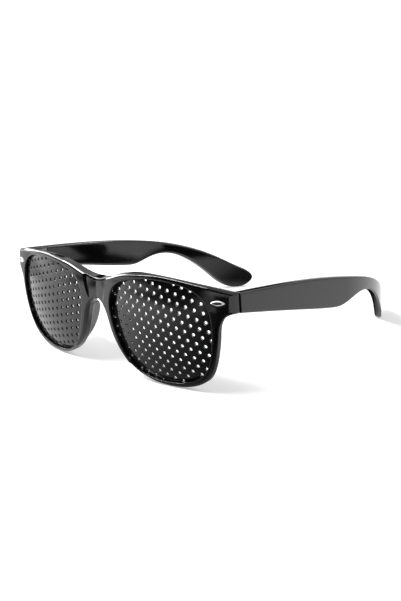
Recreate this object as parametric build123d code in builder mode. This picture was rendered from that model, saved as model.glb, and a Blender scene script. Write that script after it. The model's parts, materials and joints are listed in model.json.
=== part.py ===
from build123d import *
from math import atan2, cos, pi, radians, sin, sqrt
import os

# Overall sizes. The glasses are drawn as worn, with the lenses upright:
# x across the front, y back towards the ears, z up, from the lenses' middle.
# Left is the wearer's left, at +x.
overall_width = 144.4
lens_width = 53.0
lens_height = 45.6
lens_gap = 19.0
lens_drop = 2.3

# Rims: how far the front reaches beyond the lens openings, and its curved face
side_rim = 3.2
edge_rim = 2.2
front_bevel = 0.7
front_radius = 125.0
front_vertex_x = 18.9
front_vertex_y = -1.95
rear_lip = 0.9

# Bridge and nose arch
bridge_top = 16.0
bridge_arch = 6.4
bridge_face_y = -0.3
bridge_half_top = 7.0
bridge_half_low = 4.8
bridge_slope = 20.0

# Nose pads, moulded behind the nasal edges of the rims
pad_top = 4.2
pad_low = -20.0
pad_reach = 8.1
pad_root = 1.6
pad_thickness = 2.6
pad_inset = 0.3
pad_flare = 0.25

# Endpieces, which carry the hinges
end_top = 17.7
end_low = 8.7
end_corner_x = 69.4
end_corner_y = 10.0
end_inner_x = 62.6
end_blend = 3.4
brow_end_slope = 0.2
joint_y = 14.0
joint_gap = 0.25

# Pinhole plates: spherical shells held in the grooves of the rims
plate_radius = 92.0
plate_vertex_x = 24.55
plate_vertex_y = -0.55
plate_thickness = 1.0
plate_in_groove = 0.9
groove_clearance = 0.1
hole_diameter = 1.3
hole_bulge = 0.003
hole_sides = 6
hole_pitch = 4.0
hole_row_fall = 15.0
left_hole_start = (18.0, 13.3)
right_hole_start = (-1.62, 6.15)

# Temples: a side profile cut from a band that curves inwards behind the ear
temple_thickness = 4.0
temple_length = 150.6
temple_drop = 55.0
temple_straight = 76.0
temple_bend_radius = 115.0
temple_bend_angle = 50.0
temple_end_top = 17.4
temple_end_low = 8.7
temple_bevel = 0.4

# Hinges: three knuckles on one screw, with leaves let into the plastic
hinge_middle_z = 13.0
hinge_inset = 1.8
hinge_setback = 1.7
knuckle_count = 3
knuckle_radius = 1.45
knuckle_height = 2.1
knuckle_gap = 0.1
web_width = 2.0
leaf_thickness = 0.8
front_leaf_width = 4.4
front_leaf_margin = 0.4
temple_leaf_length = 11.0
temple_leaf_height = 4.6
peg_width = 1.2
peg_length = 1.6
front_peg_spacing = 3.6
temple_peg_spacing = 6.0
leaf_clearance = 0.05
screw_radius = 0.7
screw_clearance = 0.04
screw_head_radius = 1.05
screw_head_height = 0.7
screw_slot_width = 0.3
screw_slot_depth = 0.3

# Ornaments on the front corners
ornament_x = 65.4
ornament_z = 13.5
ornament_length = 6.4
ornament_width = 2.2
ornament_proud = 0.45
ornament_seat = 0.4
ornament_bevel = 0.25
ornament_border = 0.45
ornament_centre_depth = 0.15
ornament_stud_radius = 0.7
ornament_stud_length = 1.8
ornament_clearance = 0.05

# One overrun serves every cutting tool
overrun = 6.0

# Outlines, as shares of the sizes that they follow
lens_shares = [
    (1.0, 0.25), (0.88, 0.70), (0.62, 0.90), (0.33, 0.974), (-0.15, 0.991),
    (-0.62, 0.895), (-0.90, 0.70), (-1.0, 0.30), (-0.90, -0.22), (-0.72, -0.65),
    (-0.37, -0.93), (0.085, -1.0), (0.55, -0.91), (0.845, -0.654), (0.965, -0.26),
]
brow_shares = [(-0.62, 0.916), (-0.31, 0.972), (-0.03, 1.0), (0.23, 0.992), (0.47, 0.96), (0.91, 0.876)]
rim_shares = [
    (1.017, -0.01), (0.922, -0.43), (0.69, -0.80), (0.35, -0.975), (0.1, -1.0),
    (-0.30, -0.925), (-0.605, -0.724), (-0.82, -0.43), (-0.953, -0.044), (-1.02, 0.18),
]
pad_edge_shares = [(-1.02, 0.18), (-0.953, -0.044), (-0.82, -0.43), (-0.605, -0.724)]
pad_side_shares = [(0.5, 0.05), (0.94, 0.17), (1.0, 0.3), (0.94, 0.46), (0.72, 0.67), (0.38, 0.87)]
temple_top_shares = [
    (0.312, 0.127), (0.545, 0.265), (0.71, 0.405), (0.85, 0.596), (0.966, 0.807), (1.0, 0.925),
]
temple_low_shares = [
    (0.969, 0.971), (0.925, 1.0), (0.893, 0.975), (0.826, 0.805), (0.73, 0.569),
    (0.677, 0.489), (0.617, 0.447), (0.558, 0.451), (0.481, 0.478), (0.425, 0.4545), (0.259, 0.338),
]
rim_low_share = 0.1
tip_low_share = 0.925

half_width = overall_width / 2
lens_centre_x = (lens_gap + lens_width) / 2
lens_centre_z = -lens_drop
half_rim_width = lens_width / 2 + side_rim
half_rim_height = lens_height / 2 + edge_rim
hinge_x = half_width - temple_thickness - hinge_inset
hinge_y = joint_y + hinge_setback
hinge_height = knuckle_count * knuckle_height + (knuckle_count - 1) * knuckle_gap
knuckle_step = knuckle_height + knuckle_gap
screw_bore_radius = screw_radius + screw_clearance
front_leaf_x = hinge_inset - front_leaf_margin - front_leaf_width / 2
front_leaf_y = leaf_thickness / 2 - hinge_setback - leaf_thickness
temple_leaf_x = hinge_inset + leaf_thickness / 2
temple_leaf_y = (temple_leaf_length - web_width) / 2


def front_y(x, z):
    """Depth of the curved front face at a place in the front view"""
    reach = (x - front_vertex_x) ** 2 + z**2
    return front_vertex_y + front_radius - sqrt(front_radius**2 - reach)


# The rims' lowest edge and the temples' tips stand on one level, which sets the lean
rim_foot_z = lens_centre_z - half_rim_height
rim_foot_y = front_y(lens_centre_x + rim_low_share * half_rim_width, rim_foot_z) + front_bevel
tip_foot_z = temple_end_top - temple_drop
tip_foot_y = joint_y + tip_low_share * temple_length
lean = atan2(rim_foot_z - tip_foot_z, tip_foot_y - rim_foot_y)
seat_height = -rim_foot_z * cos(lean) - rim_foot_y * sin(lean)
front_most = (front_vertex_y + front_radius) * cos(lean) - front_radius
rear_most = (joint_y + temple_length) * cos(lean) - tip_foot_z * sin(lean)

wear = Plane(
    origin=(0, -(front_most + rear_most) / 2, seat_height),
    x_dir=(1, 0, 0),
    z_dir=(0, -sin(lean), cos(lean)),
)
front_view = Plane(origin=wear.origin, x_dir=wear.x_dir, z_dir=-wear.y_dir)
side_view = Plane(origin=wear.origin, x_dir=wear.y_dir, z_dir=wear.x_dir)


def worn(x, y, z):
    """A place on the worn glasses, in the part's frame"""
    return wear.from_local_coords(Vector(x, y, z))


def worn_direction(x, y, z):
    """A direction on the worn glasses, in the part's frame"""
    return worn(x, y, z) - wear.origin


def around_rim(shares):
    """Points of the front view given as shares of the rim's half width and half height"""
    return [(lens_centre_x + sx * half_rim_width, lens_centre_z + sz * half_rim_height) for sx, sz in shares]


def along_temple(shares):
    """Points of the side view given as shares of the temple's length and drop"""
    return [(joint_y + sy * temple_length, temple_end_top - sz * temple_drop) for sy, sz in shares]


def lens_outline(growth):
    """Lens opening in the front view, grown all round"""
    reach_x = lens_width / 2 + growth
    reach_z = lens_height / 2 + growth
    points = [(lens_centre_x + sx * reach_x, lens_centre_z + sz * reach_z) for sx, sz in lens_shares]
    with BuildSketch() as outline:
        with BuildLine():
            Spline(*points, periodic=True)
        make_face()
    return outline.sketch


def plate_shell(clearance):
    """Spherical shell of a plate, grown in front and behind by the clearance"""
    with BuildPart() as shell:
        with Locations(worn(plate_vertex_x, plate_vertex_y + plate_radius, 0)):
            Sphere(plate_radius + clearance)
            Sphere(plate_radius - plate_thickness - clearance, mode=Mode.SUBTRACT)
    return shell.part


def lens_block(growth):
    """The lens opening's outline carried right through the front"""
    with BuildPart() as block:
        with BuildSketch(front_view.offset(overrun)):
            add(lens_outline(growth))
        extrude(amount=-(joint_y + overrun * 2))
    return block.part


def front_leaf_plate(clearance, mode):
    """Plate and pegs of the front leaf, or the room for them, about the hinge plane"""
    with Locations((front_leaf_x, front_leaf_y, 0)):
        room = clearance * 2
        Box(front_leaf_width + room, leaf_thickness + room, hinge_height + room, mode=mode)
        peg_y = -(leaf_thickness + peg_length) / 2
        with Locations((0, peg_y, front_peg_spacing / 2), (0, peg_y, -front_peg_spacing / 2)):
            Box(peg_width + room, peg_length + room, peg_width + room, mode=mode)


def temple_leaf_plate(clearance, mode):
    """Plate and pegs of the temple leaf, or the room for them, about the hinge plane"""
    with Locations((temple_leaf_x, temple_leaf_y, 0)):
        room = clearance * 2
        Box(leaf_thickness + room, temple_leaf_length + room, temple_leaf_height + room, mode=mode)
        peg_x = (leaf_thickness + peg_length) / 2
        with Locations((peg_x, temple_peg_spacing / 2, 0), (peg_x, -temple_peg_spacing / 2, 0)):
            Box(peg_length + room, peg_width + room, peg_width + room, mode=mode)


def almond(growth):
    """Pointed oval of the ornament between two arcs, grown evenly"""
    tip = ornament_length / 2
    belly = ornament_width / 2
    with BuildSketch() as outline:
        with BuildLine():
            ThreePointArc((-tip, 0), (0, belly), (tip, 0))
            ThreePointArc((-tip, 0), (0, -belly), (tip, 0))
        make_face()
        offset(amount=growth)
    return outline.sketch


def ornament_stud(clearance, mode):
    """Stud behind the ornament, or the room for it, about the seat plane"""
    with Locations((0, 0, -ornament_seat - ornament_stud_length / 2)):
        Cylinder(ornament_stud_radius + clearance, ornament_stud_length + clearance * 2, mode=mode)


# Space behind the rims, which stops short of the thick endpiece
with BuildPart() as rear_hollow:
    with Locations(worn(plate_vertex_x, plate_vertex_y + plate_radius, 0)):
        Sphere(plate_radius - plate_thickness - rear_lip)
    with BuildSketch(front_view.offset(overrun)):
        Polygon(
            (end_inner_x, end_top + overrun),
            (end_inner_x, end_low),
            (end_inner_x + end_blend, end_low - end_blend),
            (half_width + overrun, end_low - end_blend),
            (half_width + overrun, end_top + overrun),
            align=None,
        )
    extrude(amount=-(joint_y + overrun * 2), mode=Mode.SUBTRACT)

# Nose pad: a slanting fin behind the rim's nasal edge, trimmed to its side profile
pad_edge = [(x + pad_inset, z) for x, z in around_rim(pad_edge_shares)]
pad_side = [(pad_root + sy * pad_reach, pad_top + sz * (pad_low - pad_top)) for sy, sz in pad_side_shares]
with BuildPart() as nose_pad:
    with BuildSketch(front_view.offset(-pad_root)):
        with BuildLine():
            nose_side = Spline(*pad_edge)
            lens_side = Spline(*[(x + pad_thickness, z) for x, z in pad_edge])
            Line(nose_side @ 0, lens_side @ 0)
            Line(nose_side @ 1, lens_side @ 1)
        make_face()
    extrude(amount=pad_reach + overrun, dir=worn_direction(pad_flare, 1, 0))
    with BuildSketch(side_view):
        with BuildLine():
            pad_back = Spline((pad_root, pad_top), *pad_side, (pad_root, pad_low))
            Line(pad_back @ 1, pad_back @ 0)
        make_face()
    extrude(amount=half_width, mode=Mode.INTERSECT)

# Seat of the ornament: the plane that touches the curved front there
seat_depth = front_y(ornament_x, ornament_z)
seat_normal = Vector(ornament_x - front_vertex_x, seat_depth - front_vertex_y - front_radius, ornament_z)
seat_across = Vector(0, 0, 1).cross(seat_normal)
ornament_plane = Plane(
    origin=worn(ornament_x, seat_depth, ornament_z),
    x_dir=worn_direction(*seat_across),
    z_dir=worn_direction(*seat_normal),
)

# Hinge plane: its origin is on the screw's axis, at the middle of the three knuckles
hinge_plane = Plane(origin=worn(hinge_x, hinge_y, hinge_middle_z), x_dir=wear.x_dir, z_dir=wear.z_dir)

# Front frame, drawn as its left half: the outline and its curved, bevelled face
with BuildPart() as front_half:
    with BuildSketch(front_view.offset(overrun)):
        with BuildLine():
            brow = Spline(
                (0, bridge_top),
                *around_rim(brow_shares),
                (half_width, end_top),
                tangents=((1, 0), (1, -brow_end_slope)),
            )
            end = Line(brow @ 1, (half_width, end_low))
            corner = Line(end @ 1, (end_corner_x, end_low))
            rim_points = around_rim(rim_shares)
            Spline(corner @ 1, rim_points[0], tangents=((-1, 0), (0, -1)))
            Spline(*rim_points, (0, bridge_arch), tangents=((0, -1), (-1, 0)))
            Line((0, bridge_arch), (0, bridge_top))
        make_face()
    extrude(amount=-(overrun + joint_y))
    with Locations(worn(front_vertex_x, front_vertex_y + front_radius, 0)):
        Sphere(front_radius, mode=Mode.INTERSECT)
    # The endpiece's slanting side face runs from the front corner to the joint
    with BuildSketch(wear.offset(end_low - overrun)):
        Polygon(
            (half_width, joint_y),
            (end_corner_x * 2 - half_width, end_corner_y * 2 - joint_y),
            (end_corner_x, -overrun),
            (half_width + overrun, -overrun),
            (half_width + overrun, joint_y),
            align=None,
        )
    extrude(amount=end_top - end_low + overrun * 2, mode=Mode.SUBTRACT)
    curved_face = front_half.faces().filter_by(GeomType.SPHERE).sort_by(SortBy.AREA)[-1]
    chamfer(curved_face.edges().filter_by(lambda edge: edge.bounding_box().max.X > front_bevel), front_bevel)
    add(rear_hollow.part, mode=Mode.SUBTRACT)
    # The bridge's face is set back between the rims, with sloping sides
    with BuildSketch(front_view.offset(-bridge_face_y)):
        Polygon(
            (bridge_half_top, bridge_top + overrun),
            (-bridge_half_top, bridge_top + overrun),
            (-bridge_half_top, bridge_top),
            (-bridge_half_low, bridge_arch - front_bevel),
            (-bridge_half_low, 0),
            (bridge_half_low, 0),
            (bridge_half_low, bridge_arch - front_bevel),
            (bridge_half_top, bridge_top),
            align=None,
        )
    extrude(amount=overrun, taper=-bridge_slope, mode=Mode.SUBTRACT)
    add(nose_pad.part)
    # Lens opening and the groove that holds the plate
    add(lens_block(0), mode=Mode.SUBTRACT)
    add(lens_block(plate_in_groove + groove_clearance) & plate_shell(groove_clearance), mode=Mode.SUBTRACT)
    # Pockets for the hinge's front leaf and the ornament
    with Locations(hinge_plane):
        front_leaf_plate(leaf_clearance, Mode.SUBTRACT)
    with BuildSketch(ornament_plane.offset(ornament_proud)):
        add(almond(ornament_clearance))
    extrude(amount=-(ornament_proud + ornament_seat + ornament_clearance), mode=Mode.SUBTRACT)
    with Locations(ornament_plane):
        ornament_stud(ornament_clearance, Mode.SUBTRACT)
    split(bisect_by=Plane.YZ)

with BuildPart() as front_frame:
    add(front_half.part)
    mirror(about=Plane.YZ)

# Front leaf: a plate let into the endpiece, with two knuckles on webs
with BuildPart(hinge_plane) as front_hinge_leaf:
    with Locations((0, 0, knuckle_step), (0, 0, -knuckle_step)):
        Cylinder(knuckle_radius, knuckle_height)
        with Locations((0, -hinge_setback / 2, 0)):
            Box(web_width, hinge_setback, knuckle_height)
    front_leaf_plate(0, Mode.ADD)
    with Locations((0, 0, hinge_height / 2)):
        head_bore_radius = screw_head_radius + screw_clearance
        CounterBoreHole(screw_bore_radius, head_bore_radius, screw_head_height, hinge_height)

# Temple leaf: the middle knuckle on a web, and a plate let into the temple
with BuildPart(hinge_plane) as temple_hinge_leaf:
    Cylinder(knuckle_radius, knuckle_height)
    with Locations((hinge_inset / 2, 0, 0)):
        Box(hinge_inset, web_width, knuckle_height)
    temple_leaf_plate(0, Mode.ADD)
    Cylinder(screw_bore_radius, knuckle_height, mode=Mode.SUBTRACT)

# Screw: a plain shank with a slotted head, sunk into the top knuckle
with BuildPart(hinge_plane) as hinge_screw:
    Cylinder(screw_radius, hinge_height)
    with Locations((0, 0, (hinge_height - screw_head_height) / 2)):
        Cylinder(screw_head_radius, screw_head_height)
    with Locations((0, 0, hinge_height / 2)):
        Box(screw_head_radius * 2, screw_slot_width, screw_slot_depth * 2, mode=Mode.SUBTRACT)

# Ornament: a bevelled almond with a sunken middle and a stud behind it
with BuildPart() as ornament:
    with BuildSketch(ornament_plane.offset(-ornament_seat)):
        add(almond(0))
    extrude(amount=ornament_seat + ornament_proud)
    outward = Axis(ornament_plane.origin, ornament_plane.z_dir)
    chamfer(ornament.faces().sort_by(outward)[-1].edges(), ornament_bevel)
    with BuildSketch(ornament_plane.offset(ornament_proud)):
        add(almond(-ornament_border))
    extrude(amount=-ornament_centre_depth, mode=Mode.SUBTRACT)
    with Locations(ornament_plane):
        ornament_stud(0, Mode.ADD)

# Temple: the side profile cut from a curved band, with eased edges and the leaf's pocket
with BuildPart() as temple:
    with BuildSketch(side_view):
        with BuildLine():
            front_start = joint_y + joint_gap
            profile = Spline(
                (front_start, temple_end_top),
                *along_temple(temple_top_shares),
                *along_temple(temple_low_shares),
                (front_start, temple_end_low),
            )
            Line(profile @ 1, profile @ 0)
        make_face()
    extrude(amount=half_width + overrun)
    with BuildSketch(wear.offset(temple_end_top - temple_drop - overrun)):
        with BuildLine():
            bend_y = joint_y + temple_straight
            inner_radius = temple_bend_radius - temple_thickness
            bend_centre = (half_width - temple_bend_radius, bend_y)
            outer_line = Line((half_width, front_start), (half_width, bend_y))
            outer_bend = CenterArc(bend_centre, temple_bend_radius, 0, temple_bend_angle)
            inner_bend = CenterArc(bend_centre, inner_radius, 0, temple_bend_angle)
            inner_x = half_width - temple_thickness
            inner_line = Line((inner_x, front_start), (inner_x, bend_y))
            Line(outer_line @ 0, inner_line @ 0)
            Line(outer_bend @ 1, inner_bend @ 1)
        make_face()
    extrude(amount=temple_drop + overrun * 2, mode=Mode.INTERSECT)
    chamfer(temple.edges().filter_by(GeomType.BSPLINE), temple_bevel)
    with Locations(hinge_plane):
        temple_leaf_plate(leaf_clearance, Mode.SUBTRACT)


def pinhole():
    """Outline of one hole: a few shallow arcs, which come close to a circle"""
    radius = hole_diameter / 2
    with BuildSketch() as hole:
        with BuildLine():
            for side in range(hole_sides):
                first = Vector(radius, 0).rotate(Axis.Z, 360 / hole_sides * side)
                second = Vector(radius, 0).rotate(Axis.Z, 360 / hole_sides * (side + 1))
                SagittaArc(first, second, -hole_bulge)
        make_face()
    return hole.sketch


def pinhole_plate(hole_start):
    """Plate for the left side, with a hexagonal field of holes from one starting hole"""
    turn = (lens_centre_x - plate_vertex_x) / plate_radius
    middle_y = plate_vertex_y + plate_radius - sqrt(plate_radius**2 - (lens_centre_x - plate_vertex_x) ** 2)
    drill_plane = Plane(
        origin=worn(lens_centre_x, middle_y, 0),
        x_dir=worn_direction(cos(turn), sin(turn), 0),
        z_dir=worn_direction(sin(turn), -cos(turn), 0),
    )
    opening = lens_outline(0).face()
    reach = int(lens_width / hole_pitch) + 1
    along = radians(-hole_row_fall)
    aslant = along - pi / 3
    spots = []
    for row in range(-reach, reach + 1):
        for column in range(-reach, reach + 1):
            across = hole_start[0] + hole_pitch * (column * cos(along) + row * cos(aslant))
            up = hole_start[1] + hole_pitch * (column * sin(along) + row * sin(aslant))
            if opening.is_inside(Vector(lens_centre_x + across * cos(turn), up, 0)):
                spots.append((across, up))
    with BuildPart() as plate:
        add(lens_block(plate_in_groove) & plate_shell(0))
        with BuildSketch(drill_plane.offset(overrun)):
            with Locations(*spots):
                add(pinhole())
        extrude(amount=-(joint_y + overrun), mode=Mode.SUBTRACT)
    return plate.part


os.makedirs("parts", exist_ok=True)
front_frame.part.label = "front_frame"
export_step(front_frame.part, "parts/front_frame.step")

paired = [
    ("temple", temple.part, temple.part),
    ("pinhole_plate", pinhole_plate(left_hole_start), pinhole_plate(right_hole_start)),
    ("front_hinge_leaf", front_hinge_leaf.part, front_hinge_leaf.part),
    ("temple_hinge_leaf", temple_hinge_leaf.part, temple_hinge_leaf.part),
    ("hinge_screw", hinge_screw.part, hinge_screw.part),
    ("ornament", ornament.part, ornament.part),
]
for name, left_piece, right_piece in paired:
    with BuildPart() as left:
        add(left_piece)
    left.part.label = f"{name}_left"
    export_step(left.part, f"parts/{name}_left.step")
    with BuildPart() as right:
        mirror(right_piece, about=Plane.YZ)
    right.part.label = f"{name}_right"
    export_step(right.part, f"parts/{name}_right.step")
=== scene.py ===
import json
from math import atan2, cos, pi, radians, sin, sqrt

import bpy
import numpy as np
from mathutils import Matrix, Vector
from mathutils.geometry import delaunay_2d_cdt


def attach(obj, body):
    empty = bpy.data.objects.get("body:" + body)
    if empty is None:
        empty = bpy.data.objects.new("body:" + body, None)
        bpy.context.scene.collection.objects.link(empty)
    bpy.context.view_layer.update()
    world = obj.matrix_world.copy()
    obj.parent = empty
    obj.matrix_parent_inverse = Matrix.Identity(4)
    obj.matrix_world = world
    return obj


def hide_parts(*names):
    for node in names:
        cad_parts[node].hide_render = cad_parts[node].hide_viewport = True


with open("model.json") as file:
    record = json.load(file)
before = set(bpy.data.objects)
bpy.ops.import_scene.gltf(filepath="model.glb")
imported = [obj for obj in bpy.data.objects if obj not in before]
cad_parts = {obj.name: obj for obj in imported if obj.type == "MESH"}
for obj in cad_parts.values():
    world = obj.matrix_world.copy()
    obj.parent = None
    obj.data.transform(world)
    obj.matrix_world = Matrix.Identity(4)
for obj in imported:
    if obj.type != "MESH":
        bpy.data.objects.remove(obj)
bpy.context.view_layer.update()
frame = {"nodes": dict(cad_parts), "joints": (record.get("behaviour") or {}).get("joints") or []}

MM = 0.001

# Sizes in millimetres. The glasses are drawn as worn, with the lenses upright:
# x across the front, y back towards the ears, z up. Every part is drawn at +x.
HALF_WIDTH = 72.2
LENS_CENTRE = (36.0, -2.3)
LENS_HALF = (26.5, 22.8)
RIM_HALF = (29.7, 25.0)
LENS_SHARES = [
    (1.0, 0.25), (0.88, 0.70), (0.62, 0.90), (0.33, 0.974), (-0.15, 0.991),
    (-0.62, 0.895), (-0.90, 0.70), (-1.0, 0.30), (-0.90, -0.22), (-0.72, -0.65),
    (-0.37, -0.93), (0.085, -1.0), (0.55, -0.91), (0.845, -0.654), (0.965, -0.26),
]
BROW_SHARES = [(-0.62, 0.916), (-0.31, 0.972), (-0.03, 1.0), (0.23, 0.992), (0.47, 0.96), (0.91, 0.876)]
RIM_SHARES = [
    (1.004, 0.264), (0.968, 0.02), (0.936, -0.213), (0.879, -0.475), (0.74, -0.77), (0.4, -0.965),
    (0.1, -1.0), (-0.30, -0.925), (-0.605, -0.724), (-0.82, -0.43), (-0.953, -0.044), (-1.02, 0.18),
]

FRONT_RADIUS = 125.0
FRONT_VERTEX = (18.9, -1.95)
FRONT_BEVEL = 0.85
FRONT_CORNER_ROUND = 0.2
BEVEL_EDGE_ROUND = 0.12
LENS_EDGE_ROUND = 0.35
PLATE_RADIUS = 92.0
PLATE_VERTEX = (24.55, -0.55)
PLATE_THICKNESS = 1.0
PLATE_IN_GROOVE = 0.9
GROOVE_CLEARANCE = 0.1
REAR_LIP = 0.9
RIM_REAR_Y = 10.0
REAR_ROUND = 0.5

BRIDGE_TOP = 16.0
BRIDGE_ARCH = 6.4
BRIDGE_FACE_Y = -0.3
BRIDGE_LEAN = 0.15
BRIDGE_HALF_TOP = 7.0
BRIDGE_HALF_LOW = 4.8
BRIDGE_SLOPE = radians(20)
BRIDGE_ROUND = 0.6

END_TOP = 17.7
END_LOW = 8.7
END_CORNER = (70.3, 9.4)
END_INNER_X = 62.6
END_BLEND = 1.2
END_ROUND = 0.9
END_CREST = (9.0, 19.8)
END_JOINT_Z = 17.5
BROW_END_SLOPE = 0.2
END_CREST_ROUND = 0.4
JOINT_Y = 14.0
JOINT_GAP = 0.25
JOINT_ROUND = 0.15

PAD_TOP = 4.2
PAD_LOW = -20.0
PAD_REACH = 8.1
PAD_ROOT = 1.6
PAD_THICKNESS = 2.6
PAD_INSET = 0.3
PAD_FLARE = 0.25
PAD_ROUND = 0.9
PAD_BLEND = 0.6
PAD_SLANT_SHARE = 0.85
PAD_EDGE_SHARES = [(-1.02, 0.18), (-0.953, -0.044), (-0.82, -0.43), (-0.605, -0.724)]
PAD_SIDE_SHARES = [(0.5, 0.05), (0.94, 0.17), (1.0, 0.3), (0.94, 0.46), (0.72, 0.67), (0.38, 0.87)]

TEMPLE_THICKNESS = 4.0
TEMPLE_LENGTH = 150.6
TEMPLE_DROP = 55.0
TEMPLE_END_TOP = 17.4
TEMPLE_END_LOW = 8.7
TEMPLE_STRAIGHT = 76.0
TEMPLE_BEND_RADIUS = 115.0
TEMPLE_ROUND = 0.9
TEMPLE_FRONT_ROUND = 0.2
TEMPLE_CARRIED_ON = (6, 0.3)
TEMPLE_THINNING = 1.2
TEMPLE_THINS_FROM = 128
TEMPLE_THINS_OVER = 36
TEMPLE_TOP_SHARES = [
    (0.312, 0.127), (0.545, 0.265), (0.71, 0.405), (0.85, 0.6), (0.932, 0.755), (0.966, 0.825), (0.981, 0.9),
]
TEMPLE_LOW_SHARES = [
    (0.966, 0.968), (0.925, 1.0), (0.893, 0.975), (0.826, 0.805), (0.73, 0.569), (0.677, 0.489),
    (0.617, 0.447), (0.558, 0.451), (0.481, 0.478), (0.425, 0.4545), (0.259, 0.338),
]

HINGE = (66.4, 15.7, 13.0)
HINGE_INSET = 1.8
HINGE_SETBACK = 1.7
LEAF_THICKNESS = 0.8
LEAF_CLEARANCE = 0.05
FRONT_LEAF = (4.4, 6.5)
FRONT_LEAF_INSET = 0.4
TEMPLE_LEAF = (11.0, 4.6)
TEMPLE_LEAF_AHEAD = 2

HOLE_RADIUS = 0.78
HOLE_PITCH = 4.0
HOLE_EDGE = 0.1
HOLE_MARGIN = 0.03
HOLE_SEGMENTS = 24
HOLE_ROW_FALL = 15.0
LEFT_HOLE_START = (18.0, 13.3)
RIGHT_HOLE_START = (-1.62, 6.15)

ORNAMENT_PLACE = (65.4, 13.5)
ORNAMENT_HALF = (3.2, 1.1)
ORNAMENT_PROUD = 0.45
ORNAMENT_SEAT = 0.4
ORNAMENT_BEVEL = 0.25
ORNAMENT_BORDER = 0.45
ORNAMENT_SUNK = 0.15
ORNAMENT_CLEARANCE = 0.05
ORNAMENT_SOFT = 0.04
ORNAMENT_BEVEL_SOFT = (0.05, 0.1)
ORNAMENT_SEGMENTS = 24

# Meshes
FRONT_BOX = ((-73.2, -4.2, -29.0), (73.2, 15.0, 24.6))
TEMPLE_BOX = ((36.0, 13.0, -39.0), (73.4, 166.4, 18.8))
PLATE_EDGE_STEP = 0.8
FILLING_CLEARANCE = 0.6
PLATE_SHARP = radians(25)
ORNAMENT_SHARP = radians(40)
SKIN_PASSES = 4
SKIN_LEAST_SLOPE = 0.2
SKIN_STEP_SHARE = 0.4
PLACES_AT_ONCE = 2000


# The worn glasses' frame, read from the left hinge's place and axis
fold = next(joint for joint in frame["joints"] if joint["name"] == "left_fold")
up = Vector(fold["axis"]).normalized()
across = Vector((1, 0, 0))
worn_turn = Matrix((across, up.cross(across), up)).transposed()
worn_origin = Vector(fold["pos_m"]) - worn_turn @ (Vector(HINGE) * MM)


def to_part(points):
    """Places on the worn glasses, in millimetres, as places in the part's frame, in metres"""
    return np.asarray(points) * MM @ np.array(worn_turn).T + np.array(worn_origin)


def spline(points, closed=False, start=None, end=None, spacing=0.5):
    """Smooth cubic curve through points, sampled evenly, with its ends' directions if given"""
    points = np.array(points, float)
    if closed:
        points = np.vstack([points, points[:1]])
    chords = np.linalg.norm(np.diff(points, axis=0), axis=1)
    count = len(points)
    slopes = np.diff(points, axis=0) / chords[:, None]
    matrix = np.zeros((count, count))
    right = np.zeros((count, 2))
    for k in range(1, count - 1):
        before, after = chords[k - 1], chords[k]
        matrix[k, k - 1 : k + 2] = after, 2 * (before + after), before
        right[k] = 3 * (after * slopes[k - 1] + before * slopes[k])
    if closed:
        before, after = chords[-1], chords[0]
        matrix[0, 0] = 2 * (before + after)
        matrix[0, 1] = before
        matrix[0, -2] = after
        right[0] = 3 * (after * slopes[-1] + before * slopes[0])
        matrix[-1, 0], matrix[-1, -1] = 1, -1
    else:
        for row, near, slope, direction in ((0, 1, slopes[0], start), (-1, -2, slopes[-1], end)):
            if direction is None:
                matrix[row, row], matrix[row, near] = 2, 1
                right[row] = 3 * slope
            else:
                matrix[row, row] = 1
                right[row] = np.array(direction) / np.linalg.norm(direction)
    rates = np.linalg.solve(matrix, right)
    samples = []
    for k, chord in enumerate(chords):
        steps = max(2, int(chord / spacing))
        t = np.arange(steps)[:, None] / steps
        samples.append(
            (2 * t**3 - 3 * t**2 + 1) * points[k]
            + (t**3 - 2 * t**2 + t) * chord * rates[k]
            + (3 * t**2 - 2 * t**3) * points[k + 1]
            + (t**3 - t**2) * chord * rates[k + 1]
        )
    if not closed:
        samples.append(points[-1:])
    return np.vstack(samples)


def outline_distance(outline, first, second):
    """Signed distance to a closed outline, negative inside"""
    first, second = np.broadcast_arrays(first, second)
    places = np.column_stack([first.ravel(), second.ravel()])
    begin = outline
    along = np.roll(outline, -1, axis=0) - begin
    squared = (along**2).sum(1)
    result = np.empty(len(places))
    for low in range(0, len(places), PLACES_AT_ONCE):
        part = places[low : low + PLACES_AT_ONCE]
        ahead = part[:, None, 0] - begin[:, 0]
        above = part[:, None, 1] - begin[:, 1]
        share = np.clip((ahead * along[:, 0] + above * along[:, 1]) / squared, 0, 1)
        nearest = np.sqrt(((ahead - share * along[:, 0]) ** 2 + (above - share * along[:, 1]) ** 2).min(1))
        below = above < 0
        crosses = below != np.roll(below, -1, axis=1)
        with np.errstate(divide="ignore", invalid="ignore"):
            beyond = ahead < above * along[:, 0] / along[:, 1]
        inside = (crosses & beyond).sum(1) % 2 == 1
        result[low : low + PLACES_AT_ONCE] = np.where(inside, -nearest, nearest)
    return result.reshape(first.shape)


class Outline:
    """Table of the distance to an outline, read with a smooth cubic between its places"""

    def __init__(self, points, low, high, step=0.4):
        self.low = np.array(low, float)
        self.step = step
        counts = np.ceil((np.array(high) - self.low) / step).astype(int) + 4
        places = [self.low[k] + (np.arange(counts[k]) - 1) * step for k in (0, 1)]
        self.table = outline_distance(points, places[0][:, None], places[1][None, :])

    def __call__(self, first, second):
        weights = []
        starts = []
        for value, low, count in zip((first, second), self.low, self.table.shape):
            place = np.clip((np.asarray(value) - low) / self.step, 0, count - 4)
            start = np.minimum(place.astype(int), count - 4)
            t = place - start
            starts.append(start)
            weights.append((
                (-t + 2 * t**2 - t**3) / 2, (2 - 5 * t**2 + 3 * t**3) / 2,
                (t + 4 * t**2 - 3 * t**3) / 2, (t**3 - t**2) / 2,
            ))
        result = 0
        for j in range(4):
            for k in range(4):
                result = result + weights[0][j] * weights[1][k] * self.table[starts[0] + j, starts[1] + k]
        return result


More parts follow.
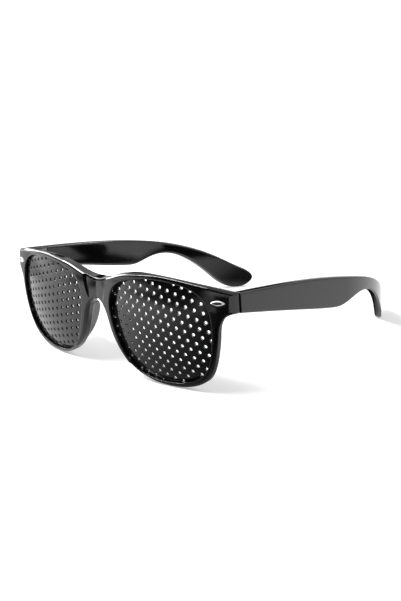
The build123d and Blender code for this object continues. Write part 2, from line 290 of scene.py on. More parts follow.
def keep_both(a, b, radius):
    """Overlap of two forms, with the edge between them rounded"""
    return np.minimum(np.maximum(a, b), -radius) + np.sqrt(
        np.maximum(a + radius, 0) ** 2 + np.maximum(b + radius, 0) ** 2
    )


def cut(a, b, radius):
    """The first form less the second, with a rounded edge"""
    return keep_both(a, -b, radius)


def join(a, b, radius):
    """Two forms as one, with a rounded hollow between them"""
    return np.maximum(np.minimum(a, b), radius) - np.sqrt(
        np.maximum(radius - a, 0) ** 2 + np.maximum(radius - b, 0) ** 2
    )


def box_field(x, y, z, middle, half):
    """Distance to an upright box"""
    wide = np.abs(x - middle[0]) - half[0]
    deep = np.abs(y - middle[1]) - half[1]
    return np.maximum(np.maximum(wide, deep), np.abs(z - middle[2]) - half[2])


def leaf_pocket(x, y, z, middle, size):
    """Distance to the pocket of a hinge leaf, with room to put the leaf in"""
    half = [extent / 2 + LEAF_CLEARANCE for extent in size]
    return box_field(x, y, z, middle, half)


def gradient(field, points, reach=0.02):
    """Slope of a form's field at points"""
    slope = np.empty_like(points)
    for axis in range(3):
        step = np.zeros(3)
        step[axis] = reach
        ahead = points + step
        behind = points - step
        slope[:, axis] = (field(*ahead.T) - field(*behind.T)) / (2 * reach)
    return slope


def skin(field, low, high, step):
    """Closed mesh of the surface where a field is zero: its vertices and four-sided faces"""
    axes = [np.arange(a, b + step, step) for a, b in zip(low, high)]
    value = field(axes[0][:, None, None], axes[1][None, :, None], axes[2][None, None, :])
    value = np.broadcast_to(value, tuple(len(a) for a in axes))
    shape = tuple(len(a) - 1 for a in axes)
    total = np.zeros(shape + (3,))
    count = np.zeros(shape)
    crossings = []
    for axis in range(3):
        first = np.take(value, range(shape[axis]), axis)
        second = np.take(value, range(1, shape[axis] + 1), axis)
        where = np.argwhere((first < 0) != (second < 0))
        a = first[tuple(where.T)]
        b = second[tuple(where.T)]
        place = where.astype(float)
        place[:, axis] += a / (a - b)
        others = [k for k in range(3) if k != axis]
        inner = np.all([(where[:, k] > 0) & (where[:, k] < shape[k]) for k in others], axis=0)
        where, place, a = where[inner], place[inner], a[inner]
        corners = []
        for shift in ((0, 0), (1, 0), (1, 1), (0, 1)):
            cell = where.copy()
            cell[:, others[0]] -= shift[0]
            cell[:, others[1]] -= shift[1]
            corners.append(cell)
            np.add.at(total, tuple(cell.T), place)
            np.add.at(count, tuple(cell.T), 1)
        turned = (a < 0) == (axis != 1)
        crossings.append((corners, turned))
    used = count > 0
    number = np.cumsum(used.ravel()).reshape(shape) - 1
    vertices = total[used] / count[used][:, None] * step + np.array([a[0] for a in axes])
    faces = []
    for corners, turned in crossings:
        quads = np.stack([number[tuple(cell.T)] for cell in corners], axis=1)
        faces.append(np.where(turned[:, None], quads, quads[:, ::-1]))
    for _ in range(SKIN_PASSES):
        slope = gradient(field, vertices)
        size = np.maximum((slope**2).sum(1), SKIN_LEAST_SLOPE)
        move = -(field(*vertices.T) / size)[:, None] * slope
        length = np.linalg.norm(move, axis=1, keepdims=True)
        vertices = vertices + move * np.minimum(1, step * SKIN_STEP_SHARE / np.maximum(length, 1e-9))
    return vertices, np.vstack(faces)


def make_piece(name, vertices, faces, body, slot, *materials):
    """Mesh object from worn places, smooth shaded and riding on a body"""
    mesh = bpy.data.meshes.new(name)
    mesh.from_pydata(to_part(vertices).tolist(), [], [list(map(int, face)) for face in faces])
    mesh.validate()
    mesh.shade_smooth()
    for material in materials:
        mesh.materials.append(material)
    piece = bpy.data.objects.new(name, mesh)
    bpy.context.scene.collection.objects.link(piece)
    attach(piece, body)
    return piece


def mirrored(vertices, faces):
    """The same mesh for the other side"""
    return vertices * [-1, 1, 1], [list(face)[::-1] for face in faces]


# Outlines in the front view and the side view
def scaled(shares, centre, half):
    """Places given as shares of a half width and half height about a centre"""
    return [(centre[0] + u * half[0], centre[1] + v * half[1]) for u, v in shares]


def lens_outline(growth, spacing=0.5):
    """Outline of the lens opening, grown by a margin"""
    half = (LENS_HALF[0] + growth, LENS_HALF[1] + growth)
    return spline(scaled(LENS_SHARES, LENS_CENTRE, half), closed=True, spacing=spacing)


def front_outline():
    """Whole outer outline of the front, from the right half's curves and their mirror image"""
    brow = spline(
        [(0, BRIDGE_TOP), *scaled(BROW_SHARES, LENS_CENTRE, RIM_HALF), (HALF_WIDTH, END_TOP)],
        start=(1, 0), end=(1, -BROW_END_SLOPE),
    )
    rim_points = scaled(RIM_SHARES, LENS_CENTRE, RIM_HALF)
    rim = spline([(END_CORNER[0], END_LOW), *rim_points, (0, BRIDGE_ARCH)], start=(-1, 0), end=(-1, 0))
    half = np.vstack([brow, [(HALF_WIDTH, END_LOW)], rim])
    return np.vstack([half, (half * [-1, 1])[::-1][1:-1]])


def temple_outline():
    """Side profile of a temple, carried on in front of the joint"""
    shares = TEMPLE_TOP_SHARES + TEMPLE_LOW_SHARES
    side = [(JOINT_Y + u * TEMPLE_LENGTH, TEMPLE_END_TOP - v * TEMPLE_DROP) for u, v in shares]
    front = JOINT_Y + JOINT_GAP
    profile = spline([(front, TEMPLE_END_TOP), *side, (front, TEMPLE_END_LOW)])
    run, fall = TEMPLE_CARRIED_ON
    ahead = [(front - run, TEMPLE_END_LOW - fall), (front - run, TEMPLE_END_TOP)]
    return np.vstack([profile, ahead])


FRONT_VIEW = ((-2, -31), (76, 27))
front_edge = Outline(front_outline(), *FRONT_VIEW)
lens_edge = Outline(lens_outline(0), *FRONT_VIEW)
groove_edge = Outline(lens_outline(PLATE_IN_GROOVE + GROOVE_CLEARANCE), *FRONT_VIEW)
temple_edge = Outline(temple_outline(), (10, -42), (170, 22))
pad_points = [(PAD_ROOT + u * PAD_REACH, PAD_TOP + v * (PAD_LOW - PAD_TOP)) for u, v in PAD_SIDE_SHARES]
PAD_SIDE = spline([(PAD_ROOT, PAD_TOP), *pad_points, (PAD_ROOT, PAD_LOW)])
pad_side = Outline(np.vstack([PAD_SIDE, [(-0.5, PAD_LOW), (-0.5, PAD_TOP)]]), (-5, -31), (16, 27))
PAD_EDGE = spline([(x + PAD_INSET, z) for x, z in scaled(PAD_EDGE_SHARES, LENS_CENTRE, RIM_HALF)])[::-1]


# Fields of the moulded forms
def sphere_field(x, y, z, vertex, radius):
    """Distance to a sphere, from its foremost point and its radius"""
    return np.sqrt((x - vertex[0]) ** 2 + (y - vertex[1] - radius) ** 2 + z**2) - radius


def almond_frame():
    """Place and directions of the ornament's seat on the front's curved face"""
    x, z = ORNAMENT_PLACE
    centre = np.array([FRONT_VERTEX[0], FRONT_VERTEX[1] + FRONT_RADIUS, 0])
    depth = centre[1] - sqrt(FRONT_RADIUS**2 - (x - centre[0]) ** 2 - z**2)
    place = np.array([x, depth, z])
    normal = (place - centre) / FRONT_RADIUS
    side = np.cross([0, 0, 1], normal)
    side /= np.linalg.norm(side)
    return place, side, np.cross(normal, side), normal


def almond_field(x, y, z, growth, depth):
    """Distance to the pocket of the ornament's almond outline"""
    place, side, rise, normal = almond_frame()
    u = (x - place[0]) * side[0] + (y - place[1]) * side[1] + (z - place[2]) * side[2]
    v = (x - place[0]) * rise[0] + (y - place[1]) * rise[1] + (z - place[2]) * rise[2]
    w = (x - place[0]) * normal[0] + (y - place[1]) * normal[1] + (z - place[2]) * normal[2]
    half, belly = ORNAMENT_HALF
    radius = (half**2 + belly**2) / (2 * belly)
    outline = np.sqrt(u**2 + (np.abs(v) + radius - belly) ** 2) - radius - growth
    return np.maximum(outline, np.abs(w) - depth)


def front_field(x, y, z):
    """The front moulding: rims, bridge, endpieces and nose pads, with their grooves and pockets"""
    x = np.abs(x)
    face = sphere_field(x, y, z, FRONT_VERTEX, FRONT_RADIUS)
    side_run = HALF_WIDTH - END_CORNER[0]
    side_depth = JOINT_Y - END_CORNER[1]
    side_length = sqrt(side_run**2 + side_depth**2)
    side = ((x - END_CORNER[0]) * side_depth - (y - END_CORNER[1]) * side_run) / side_length
    form = keep_both(face, side, END_ROUND)
    edge = front_edge(x, z)
    bevel = (form + edge + FRONT_BEVEL) / sqrt(2)
    form = keep_both(keep_both(form, edge, FRONT_CORNER_ROUND), bevel, BEVEL_EDGE_ROUND)
    form = keep_both(form, y - JOINT_Y, JOINT_ROUND)
    crest_run = JOINT_Y - END_CREST[0]
    crest_fall = END_CREST[1] - END_JOINT_Z
    crest = ((y - JOINT_Y) * crest_fall + (z - END_JOINT_Z) * crest_run) / sqrt(crest_run**2 + crest_fall**2)
    form = keep_both(form, crest, END_CREST_ROUND)
    rear = sphere_field(x, y, z, PLATE_VERTEX, PLATE_RADIUS) + PLATE_THICKNESS + REAR_LIP
    slanted = (END_INNER_X + END_LOW - x - z) / sqrt(2)
    endpiece = np.maximum(np.maximum(END_INNER_X - x, END_LOW - END_BLEND - z), slanted)
    rear = np.minimum(rear, RIM_REAR_Y - y)
    form = cut(form, keep_both(rear, -endpiece, REAR_ROUND), REAR_ROUND)
    rise = np.clip((z - BRIDGE_ARCH) / (BRIDGE_TOP - BRIDGE_ARCH), 0, 1)
    half = BRIDGE_HALF_LOW + (BRIDGE_HALF_TOP - BRIDGE_HALF_LOW) * rise
    depth = y - BRIDGE_FACE_Y - BRIDGE_LEAN * (z - (BRIDGE_ARCH + BRIDGE_TOP) / 2)
    slope = (x - half) * cos(BRIDGE_SLOPE) + depth * sin(BRIDGE_SLOPE)
    form = cut(form, keep_both(slope, depth, BRIDGE_ROUND), BRIDGE_ROUND)
    nose_side = np.interp(z, PAD_EDGE[:, 1], PAD_EDGE[:, 0])
    set_back = x - PAD_FLARE * (y - PAD_ROOT)
    fin = np.maximum(nose_side - set_back, set_back - nose_side - PAD_THICKNESS) * PAD_SLANT_SHARE
    pad = keep_both(fin, pad_side(y, z), PAD_ROUND)
    form = join(form, pad, PAD_BLEND)
    form = cut(form, lens_edge(x, z), LENS_EDGE_ROUND)
    plate_middle = sphere_field(x, y, z, PLATE_VERTEX, PLATE_RADIUS) + PLATE_THICKNESS / 2
    groove = np.maximum(
        np.abs(plate_middle) - PLATE_THICKNESS / 2 - GROOVE_CLEARANCE, groove_edge(x, z)
    )
    form = np.maximum(form, -groove)
    leaf_middle = (
        HINGE[0] + HINGE_INSET - FRONT_LEAF_INSET - FRONT_LEAF[0] / 2,
        HINGE[1] - HINGE_SETBACK - LEAF_THICKNESS / 2,
        HINGE[2],
    )
    pocket = leaf_pocket(x, y, z, leaf_middle, (FRONT_LEAF[0], LEAF_THICKNESS, FRONT_LEAF[1]))
    form = np.maximum(form, -pocket)
    return np.maximum(form, -almond_field(x, y, z, ORNAMENT_CLEARANCE, ORNAMENT_SEAT))


def temple_field(x, y, z):
    """A temple: its side profile cut from a band that bends in behind the ear"""
    bend_y = JOINT_Y + TEMPLE_STRAIGHT
    bend_x = HALF_WIDTH - TEMPLE_BEND_RADIUS
    behind = np.maximum(y - bend_y, 0)
    reach = np.sqrt((x - bend_x) ** 2 + behind**2)
    outer = reach - TEMPLE_BEND_RADIUS
    thin = TEMPLE_THINNING * np.clip((y - TEMPLE_THINS_FROM) / TEMPLE_THINS_OVER, 0, 1) ** 2
    band = np.maximum(outer, TEMPLE_BEND_RADIUS - TEMPLE_THICKNESS + thin - reach)
    form = keep_both(band, temple_edge(y, z), TEMPLE_ROUND)
    form = keep_both(form, JOINT_Y + JOINT_GAP - y, TEMPLE_FRONT_ROUND)
    middle = (
        HINGE[0] + HINGE_INSET + LEAF_THICKNESS / 2,
        HINGE[1] + (TEMPLE_LEAF[0] - TEMPLE_LEAF_AHEAD) / 2,
        HINGE[2],
    )
    pocket = leaf_pocket(x, y, z, middle, (LEAF_THICKNESS, *TEMPLE_LEAF))
    return np.maximum(form, -pocket)


# Materials. Noise scales are per metre and bump heights are in metres
TINT_SCALE = 60
TINT_SHARES = (0.8, 1.25)
HAZE_SCALE = 350
HAZE_RANGE = (0.3, 0.7)
HAZE_SHARES = (0.8, 1.3)
WAVE_SCALE = 45
WAVE_HEIGHT = 0.0002
GRAIN_SCALE = 400
GRAIN_TINT_SHARES = (0.85, 1)
GRAIN_SHARES = (0.7, 1.4)
GRAIN_STRENGTH = 0.1
GRAIN_HEIGHT = 0.0001


def new_material(name):
    """Material with its nodes, links and shader"""
    material = bpy.data.materials.new(name)
    material.use_nodes = True
    nodes = material.node_tree.nodes
    return material, nodes, material.node_tree.links, nodes["Principled BSDF"]


def noise(nodes, links, vector, scale, detail=2):
    """Noise over places"""
    texture = nodes.new("ShaderNodeTexNoise")
    texture.inputs["Scale"].default_value = scale
    texture.inputs["Detail"].default_value = detail
    links.new(vector, texture.inputs["Vector"])
    return texture.outputs["Fac"]


def tones(nodes, links, value, shade, lowest, highest):
    """Shade that runs with a value from its lowest to its highest share"""
    ramp = nodes.new("ShaderNodeValToRGB")
    for end, share in zip(ramp.color_ramp.elements, (lowest, highest)):
        end.color = (*[c * share for c in shade], 1)
    links.new(value, ramp.inputs["Fac"])
    return ramp.outputs["Color"]


def mapped(nodes, links, value, source, target, smooth=False):
    """Value carried from one range to another"""
    spread = nodes.new("ShaderNodeMapRange")
    if smooth:
        spread.interpolation_type = "SMOOTHSTEP"
    spread.inputs["From Min"].default_value, spread.inputs["From Max"].default_value = source
    spread.inputs["To Min"].default_value, spread.inputs["To Max"].default_value = target
    links.new(value, spread.inputs["Value"])
    return spread.outputs["Result"]


def bumps(nodes, links, height, strength, distance):
    """Direction of a surface with small bumps"""
    bump = nodes.new("ShaderNodeBump")
    bump.inputs["Strength"].default_value = strength
    bump.inputs["Distance"].default_value = distance
    links.new(height, bump.inputs["Height"])
    return bump.outputs["Normal"]


def plastic(name, shade, roughness, waviness):
    """Polished black plastic with faint waves, and small changes in its tone and gloss"""
    material, nodes, links, shader = new_material(name)
    place = nodes.new("ShaderNodeTexCoord").outputs["Object"]
    tint = noise(nodes, links, place, TINT_SCALE, 3)
    links.new(tones(nodes, links, tint, shade, *TINT_SHARES), shader.inputs["Base Color"])
    haze = noise(nodes, links, place, HAZE_SCALE, 6)
    rough = [roughness * share for share in HAZE_SHARES]
    links.new(mapped(nodes, links, haze, HAZE_RANGE, rough), shader.inputs["Roughness"])
    wave = noise(nodes, links, place, WAVE_SCALE)
    links.new(bumps(nodes, links, wave, waviness, WAVE_HEIGHT), shader.inputs["Normal"])
    shader.inputs["IOR"].default_value = 1.5
    return material


def metal(name, shade, roughness, scale):
    """Metal with fine tool marks and small changes of tone"""
    material, nodes, links, shader = new_material(name)
    shader.inputs["Metallic"].default_value = 1
    place = nodes.new("ShaderNodeTexCoord")
    stretch = nodes.new("ShaderNodeMapping")
    stretch.inputs["Scale"].default_value = scale
    links.new(place.outputs["Object"], stretch.inputs["Vector"])
    grain = noise(nodes, links, stretch.outputs["Vector"], GRAIN_SCALE, 4)
    links.new(tones(nodes, links, grain, shade, *GRAIN_TINT_SHARES), shader.inputs["Base Color"])
    rough = [roughness * share for share in GRAIN_SHARES]
    links.new(mapped(nodes, links, grain, (0, 1), rough), shader.inputs["Roughness"])
    links.new(bumps(nodes, links, grain, GRAIN_STRENGTH, GRAIN_HEIGHT), shader.inputs["Normal"])
    return material


frame_black = plastic("frame_black", (0.003, 0.003, 0.0033), 0.07, 0.1)
plate_black = plastic("plate_black", (0.004, 0.004, 0.0045), 0.14, 0.08)
enamel_black = plastic("enamel_black", (0.03, 0.03, 0.032), 0.3, 0.2)
hinge_steel = metal("hinge_steel", (0.2, 0.2, 0.205), 0.38, (1, 6, 1))
screw_steel = metal("screw_steel", (0.5, 0.5, 0.51), 0.25, (1, 1, 1))
bright_silver = metal("bright_silver", (0.9, 0.9, 0.91), 0.36, (1, 1, 1))


# Pinhole plates
def plate_mesh(hole_start):
    """Curved plate with a hexagonal field of round holes, on the left side"""
    centre = np.array([PLATE_VERTEX[0], PLATE_VERTEX[1] + PLATE_RADIUS, 0])
    turn = (LENS_CENTRE[0] - PLATE_VERTEX[0]) / PLATE_RADIUS
    direction = np.array([sin(turn), -cos(turn), 0])
    sideways = np.array([cos(turn), sin(turn), 0])
    middle_y = centre[1] - sqrt(PLATE_RADIUS**2 - (LENS_CENTRE[0] - centre[0]) ** 2)
    middle = np.array([LENS_CENTRE[0], middle_y, 0])

    def drilled(places, radius):
        """Points of the drilling plane carried onto a sphere of the plate"""
        places = np.asarray(places)
        start = middle + places[:, :1] * sideways + places[:, 1:] * [0, 0, 1]
        offset = start - centre
        along = offset @ direction
        reach = -along + np.sqrt(along**2 - (offset**2).sum(1) + radius**2)
        return start + reach[:, None] * direction

    def facing(places, radius):
        """Points of the front view carried onto a sphere of the plate"""
        places = np.asarray(places)
        depth = centre[1] - np.sqrt(radius**2 - (places[:, 0] - centre[0]) ** 2 - places[:, 1] ** 2)
        return np.column_stack([places[:, 0], depth, places[:, 1]])

    fall = radians(-HOLE_ROW_FALL)
    aslant = fall - pi / 3
    span = int(LENS_HALF[0] * 2 / HOLE_PITCH) + 1
    spots = []
    for row in range(-span, span + 1):
        for column in range(-span, span + 1):
            u = hole_start[0] + HOLE_PITCH * (column * cos(fall) + row * cos(aslant))
            v = hole_start[1] + HOLE_PITCH * (column * sin(fall) + row * sin(aslant))
            spots.append((u, v))
    spots = np.array(spots)
    inside = lens_edge(LENS_CENTRE[0] + spots[:, 0] * cos(turn), spots[:, 1]) < 0
    spots = spots[inside]
    edge = lens_outline(PLATE_IN_GROOVE, spacing=PLATE_EDGE_STEP)
    edge_front = facing(edge, PLATE_RADIUS)
    edge_plane = np.column_stack([(edge_front - middle) @ sideways, edge_front[:, 2]])
    angle = np.arange(HOLE_SEGMENTS) * 2 * pi / HOLE_SEGMENTS
    ring = np.column_stack([np.cos(angle), np.sin(angle)])
    clear = outline_distance(edge_plane, spots[:, 0], spots[:, 1]) < -(HOLE_RADIUS + HOLE_EDGE + HOLE_MARGIN)
    spots = spots[clear]
    wide = (spots[:, None] + ring * (HOLE_RADIUS + HOLE_EDGE)).reshape(-1, 2)
    bore = (spots[:, None] + ring * HOLE_RADIUS).reshape(-1, 2)
    pitch = HOLE_PITCH / sqrt(3)
    between = fall + pi / 6 + np.arange(6) * pi / 3
    filling = np.array([spots + pitch * np.array([cos(a), sin(a)]) for a in between]).reshape(-1, 2)
    filling = filling[outline_distance(edge_plane, filling[:, 0], filling[:, 1]) < -FILLING_CLEARANCE]
    filling = np.unique(np.round(filling, 3), axis=0)
    flat = np.vstack([edge_plane, wide, filling])
    edges = len(edge_plane)
    wides = len(wide)
    borders = [list(range(edges))]
    for k in range(len(spots)):
        borders.append(list(range(edges + k * HOLE_SEGMENTS, edges + (k + 1) * HOLE_SEGMENTS)))
    joined = [(loop[k], loop[(k + 1) % len(loop)]) for loop in borders for k in range(len(loop))]
    out = delaunay_2d_cdt([Vector(p) for p in flat.tolist()], joined, [], 0, 1e-7)
    origin = [ids[0] for ids in out[3]]
    hole_of = np.full(len(flat), -1)
    hole_of[edges : edges + wides] = np.repeat(np.arange(len(spots)), HOLE_SEGMENTS)
    shells = []
    for face in out[2]:
        ids = [origin[k] for k in face]
        holes = hole_of[ids]
        if holes[0] >= 0 and np.all(holes == holes[0]):
            continue
        at = flat[ids].mean(0)
        if outline_distance(edge_plane, at[:1], at[1:])[0] > 0:
            continue
        shells.append(ids)
    inner_radius = PLATE_RADIUS - PLATE_THICKNESS
    front = np.vstack([edge_front, drilled(wide, PLATE_RADIUS), drilled(filling, PLATE_RADIUS)])
    edge_rear = facing(edge, inner_radius)
    rear = np.vstack([edge_rear, drilled(wide, inner_radius), drilled(filling, inner_radius)])
    bore_front = drilled(bore, PLATE_RADIUS - HOLE_EDGE)
    bore_rear = drilled(bore, inner_radius + HOLE_EDGE)
    count = len(front)
    vertices = np.vstack([front, rear, bore_front, bore_rear])
    faces = shells + [[k + count for k in ids[::-1]] for ids in shells]
    for loop in borders:
        for k, first in enumerate(loop):
            second = loop[(k + 1) % len(loop)]
            if first < edges:
                faces.append([second, first, first + count, second + count])
                continue
            a = 2 * count + first - edges
            b = 2 * count + second - edges
            faces.append([first, second, b, a])
            faces.append([a, b, b + wides, a + wides])
            faces.append([a + wides, b + wides, second + count, first + count])
    return vertices, faces


def ornament_mesh():
    """Bevelled almond with a sunken middle, built as rings from its foot to its centre"""
    place, side, rise, normal = almond_frame()
    half, belly = ORNAMENT_HALF
    radius = (half**2 + belly**2) / (2 * belly)
    sweep = atan2(half, radius - belly)
    angle = np.linspace(-sweep, sweep, ORNAMENT_SEGMENTS + 1)[:-1]
    foot_of_bevel = ORNAMENT_PROUD - ORNAMENT_BEVEL
    inward, upward = ORNAMENT_BEVEL_SOFT
    rings = [
        (0, -ORNAMENT_SEAT),
        (0, foot_of_bevel),
        (inward, foot_of_bevel + upward),
        (ORNAMENT_BEVEL - inward, ORNAMENT_PROUD - ORNAMENT_SOFT),
        (ORNAMENT_BEVEL, ORNAMENT_PROUD),
        (ORNAMENT_BORDER - ORNAMENT_SOFT, ORNAMENT_PROUD),
        (ORNAMENT_BORDER, ORNAMENT_PROUD - ORNAMENT_SOFT),
        (ORNAMENT_BORDER, ORNAMENT_PROUD - ORNAMENT_SUNK),
    ]
    vertices = []
    for inset, height in rings:
        shrunk = radius - inset
        tip = sqrt(shrunk**2 - (radius - belly) ** 2)
        spread = atan2(tip, radius - belly)
        turn = angle * spread / sweep
        upper = np.column_stack([np.sin(turn) * shrunk, np.cos(turn) * shrunk - radius + belly])
        loop = np.vstack([upper, -upper])
        vertices.append(place + loop[:, :1] * side + loop[:, 1:] * rise + height * normal)
    size = len(vertices[0])
    faces = []
    shiny = []
    for level in range(len(rings) - 1):
        for k in range(size):
            a = level * size + k
            b = level * size + (k + 1) % size
            faces.append([a, b, b + size, a + size])
            shiny.append(0)
    last = (len(rings) - 1) * size
    middle = place + (ORNAMENT_PROUD - ORNAMENT_SUNK) * normal
    vertices.append(middle[None])
    centre = len(rings) * size
    for k in range(size):
        faces.append([last + k, last + (k + 1) % size, centre])
        shiny.append(1)
    foot = place - ORNAMENT_SEAT * normal
    vertices.append(foot[None])
    for k in range(size):
        faces.append([(k + 1) % size, k, centre + 1])
        shiny.append(0)
    return np.vstack(vertices), faces, shiny


# Pieces
STEP_FRONT = 0.35
STEP_TEMPLE = 0.45

vertices, faces = skin(front_field, *FRONT_BOX, STEP_FRONT)
front_piece = make_piece("front_moulding", vertices, faces, "front", "frame_plastic", frame_black)
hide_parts("front_frame")

vertices, faces = skin(temple_field, *TEMPLE_BOX, STEP_TEMPLE)
for side, (points, loops) in (("left", (vertices, faces)), ("right", mirrored(vertices, faces))):
    temple = make_piece(f"temple_arm_{side}", points, loops, f"{side}_temple", "frame_plastic", frame_black)
    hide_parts(f"temple_{side}")

for side, start in (("left", LEFT_HOLE_START), ("right", RIGHT_HOLE_START)):
    points, loops = plate_mesh(start)
    if side == "right":
        points, loops = mirrored(points, loops)
    plate = make_piece(f"plate_{side}", points, loops, "front", "plate_plastic", plate_black)
    plate.data.set_sharp_from_angle(angle=PLATE_SHARP)
    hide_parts(f"pinhole_plate_{side}")

points, loops, finish = ornament_mesh()
for side in ("left", "right"):
    shape = (points, loops) if side == "left" else mirrored(points, loops)
    badge = make_piece(f"almond_{side}", *shape, "front", "ornament_metal", bright_silver, enamel_black)
    badge.data.polygons.foreach_set("material_index", finish)
    badge.data.set_sharp_from_angle(angle=ORNAMENT_SHARP)
    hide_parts(f"ornament_{side}")

HINGE_FINISHES = {
    "front_hinge_leaf": hinge_steel,
    "temple_hinge_leaf": hinge_steel,
    "hinge_screw": screw_steel,
}
for side in ("left", "right"):
    for name, material in HINGE_FINISHES.items():
        node = frame["nodes"][f"{name}_{side}"]
        node.data.materials.clear()
        node.data.materials.append(material)

# Camera at the photograph's viewing angle, in the worn frame's millimetres
PHOTO_HEIGHT = 601
CAMERA_AZIMUTH = radians(43.528)
CAMERA_HEIGHT = radians(18.119)
CAMERA_ROLL = radians(-3.681)
CAMERA_DISTANCE = 373.423
CAMERA_ASIDE = (-102.085, 11.728)
CAMERA_FOCAL = 832.52
SENSOR = 36.0
CAMERA_NEAREST = 0.01

forth = cos(CAMERA_HEIGHT)
back = Vector((sin(CAMERA_AZIMUTH) * forth, -cos(CAMERA_AZIMUTH) * forth, sin(CAMERA_HEIGHT)))
level = Vector((cos(CAMERA_AZIMUTH), sin(CAMERA_AZIMUTH), 0))
upright = back.cross(level)
right_way = level * cos(CAMERA_ROLL) + upright * sin(CAMERA_ROLL)
up_way = upright * cos(CAMERA_ROLL) - level * sin(CAMERA_ROLL)
scale = CAMERA_DISTANCE / CAMERA_FOCAL
eye = back * CAMERA_DISTANCE - right_way * (CAMERA_ASIDE[0] * scale) + up_way * (CAMERA_ASIDE[1] * scale)
camera_data = bpy.data.cameras.new("photo_camera")
camera_data.sensor_width = SENSOR
camera_data.lens = CAMERA_FOCAL / PHOTO_HEIGHT * SENSOR
camera_data.clip_start = CAMERA_NEAREST
camera = bpy.data.objects.new("photo_camera", camera_data)
bpy.context.scene.collection.objects.link(camera)
turned = worn_turn @ Matrix((right_way, up_way, back)).transposed()
camera.matrix_world = Matrix.Translation(worn_origin + worn_turn @ (eye * MM)) @ turned.to_4x4()
bpy.context.scene.camera = camera

# Floor, world and studio lights, with places and lengths in metres
FLOOR_SIZE = 12.0
FLOOR_REACH = (0.3, 1.1)
FLOOR_GLOW = (0.4, 1.0)
WORLD_LIGHT = 0.2
WORLD_SEEN = 1.0
TARGET = (0, -0.05, 0.04)
FLAG_SIDE_FADE = 0.12
FLAG_LIFT = 0.0006
FLAG_LIFT_OVER = 0.0007
STRIP_WIDTH = 0.12


def flat_mesh(name, size, material):
    """Level rectangle about the origin"""
    x, y = size[0] / 2, size[1] / 2
    mesh = bpy.data.meshes.new(name)
    mesh.from_pydata([(-x, -y, 0), (x, -y, 0), (x, y, 0), (-x, y, 0)], [], [(0, 1, 2, 3)])
    mesh.materials.append(material)
    return mesh


def chain(nodes, links, operation, sockets):
    """One math node after another over a row of sockets"""
    result = sockets[0]
    for socket in sockets[1:]:
        node = nodes.new("ShaderNodeMath")
        node.operation = operation
        links.new(result, node.inputs[0])
        links.new(socket, node.inputs[1])
        result = node.outputs[0]
    return result


def seen_rays(nodes, links):
    """One for rays from the camera, a gloss or a clear body, else zero"""
    paths = nodes.new("ShaderNodeLightPath")
    kinds = ("Is Camera Ray", "Is Glossy Ray", "Is Transmission Ray")
    return chain(nodes, links, "MAXIMUM", [paths.outputs[kind] for kind in kinds])


def floor_material():
    """White floor that keeps the shadow, and glows more far away, where the lamps give it less"""
    material, nodes, links, shader = new_material("floor_white")
    shader.inputs["Base Color"].default_value = (0.8, 0.8, 0.8, 1)
    shader.inputs["Roughness"].default_value = 0.9
    shader.inputs["Specular IOR Level"].default_value = 0
    place = nodes.new("ShaderNodeTexCoord")
    reach = nodes.new("ShaderNodeVectorMath")
    reach.operation = "LENGTH"
    links.new(place.outputs["Object"], reach.inputs[0])
    level = mapped(nodes, links, reach.outputs["Value"], FLOOR_REACH, FLOOR_GLOW, smooth=True)
    glow = chain(nodes, links, "MULTIPLY", [seen_rays(nodes, links), level])
    shader.inputs["Emission Color"].default_value = (1, 1, 1, 1)
    links.new(glow, shader.inputs["Emission Strength"])
    return material


floor = bpy.data.objects.new("floor", flat_mesh("floor", (FLOOR_SIZE, FLOOR_SIZE), floor_material()))
bpy.context.scene.collection.objects.link(floor)

world = bpy.data.worlds.new("studio")
bpy.context.scene.world = world
world.use_nodes = True
world_nodes = world.node_tree.nodes
world_links = world.node_tree.links
sky = world_nodes["Background"]
sky.inputs["Color"].default_value = (1, 1, 1, 1)
seen = seen_rays(world_nodes, world_links)
world_strength = mapped(world_nodes, world_links, seen, (0, 1), (WORLD_LIGHT, WORLD_SEEN))
world_links.new(world_strength, sky.inputs["Strength"])


def softbox(name, place, size, power, along=(1, 0, 0)):
    """Rectangular light that faces the object, with its length along a direction"""
    light = bpy.data.lights.new(name, "AREA")
    light.shape = "RECTANGLE"
    light.size, light.size_y = size
    light.energy = power
    lamp = bpy.data.objects.new(name, light)
    bpy.context.scene.collection.objects.link(lamp)
    behind = (Vector(place) - Vector(TARGET)).normalized()
    wide = Vector(along)
    wide = (wide - behind * wide.dot(behind)).normalized()
    facing = Matrix((wide, behind.cross(wide), behind)).transposed()
    lamp.matrix_world = Matrix.Translation(place) @ facing.to_4x4()


def strip(name, first, last, power):
    """Long narrow light between two places"""
    first, last = Vector(first), Vector(last)
    softbox(name, (first + last) / 2, ((last - first).length, STRIP_WIDTH), power, along=last - first)


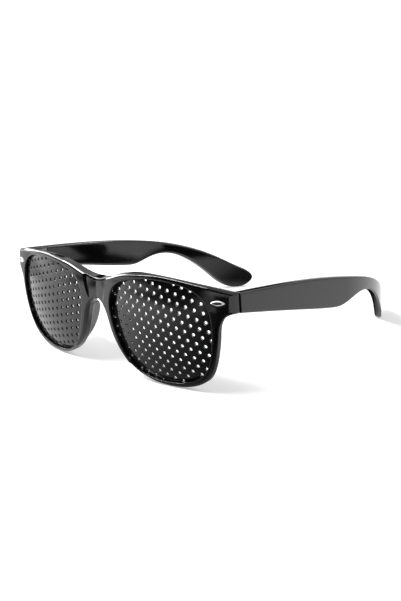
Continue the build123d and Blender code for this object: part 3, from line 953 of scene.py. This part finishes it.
def flag_material(name, size, fades, shade):
    """Dark matt face that fades out towards its edges"""
    material, nodes, links, _ = new_material(name)
    nodes.clear()
    place = nodes.new("ShaderNodeTexCoord")
    split = nodes.new("ShaderNodeSeparateXYZ")
    links.new(place.outputs["Object"], split.inputs["Vector"])
    x, y = size[0] / 2, size[1] / 2
    soft = size[1] * FLAG_SIDE_FADE
    edges = []
    for direction, near, run in (("X", -x, fades[0]), ("X", x, -fades[1]), ("Y", -y, soft), ("Y", y, -soft)):
        edges.append(mapped(nodes, links, split.outputs[direction], (near, near + run), (0, 1), smooth=True))
    clear = nodes.new("ShaderNodeBsdfTransparent")
    dark = nodes.new("ShaderNodeBsdfDiffuse")
    dark.inputs["Color"].default_value = (shade, shade, shade, 1)
    mixed = nodes.new("ShaderNodeMixShader")
    links.new(chain(nodes, links, "MULTIPLY", edges), mixed.inputs["Fac"])
    links.new(clear.outputs[0], mixed.inputs[1])
    links.new(dark.outputs[0], mixed.inputs[2])
    output = nodes.new("ShaderNodeOutputMaterial")
    links.new(mixed.outputs[0], output.inputs["Surface"])
    return material


def flag(name, place, size, fades, tilt=0, turn=0, shade=0.01):
    """Dark card that only reflections show, which keeps part of the gloss black"""
    card = bpy.data.objects.new(name, flat_mesh(name, size, flag_material(name, size, fades, shade)))
    bpy.context.scene.collection.objects.link(card)
    card.location = place
    card.rotation_euler = (tilt, 0, turn)
    card.visible_camera = False
    card.visible_shadow = False
    card.visible_diffuse = False


softbox("overhead", (0.0, 0.1, 1.0), (0.8, 0.5), 1.2)
strip("brow_strip", (0.0, -0.56, 0.81), (-0.62, -0.37, 0.61), 8)
strip("side_strip", (-0.58, -0.39, 0.63), (-0.93, 0.12, 0.17), 3.5)
softbox("rear_strip", (0.3, 0.70, 0.70), (0.6, 0.08), 2.5)
flag("flag_front", (0.06, -0.24, FLAG_LIFT), (0.24, 0.40), (0.14, 0.06))
flag("flag_middle", (0.035, 0.02, FLAG_LIFT), (0.05, 0.16), (0.012, 0.01))
flag("flag_paddle", (-0.012, 0.125, FLAG_LIFT_OVER), (0.085, 0.15), (0.02, 0.03), shade=0.12)
flag("flag_far", (-0.10, -0.42, FLAG_LIFT), (0.34, 0.40), (0.12, 0.05))
flag("flag_horizon", (0.1, -0.60, 0.34), (2.2, 0.9), (0.25, 0.3), tilt=radians(90))
flag("flag_back", (-0.52, 0.55, 0.30), (0.9, 0.40), (0.1, 0.1), tilt=radians(90), turn=radians(44))
flag("flag_left", (-0.30, -0.05, FLAG_LIFT), (0.26, 0.22), (0.08, 0.08), turn=radians(90), shade=0.4)

bpy.context.scene.view_settings.view_transform = "Standard"
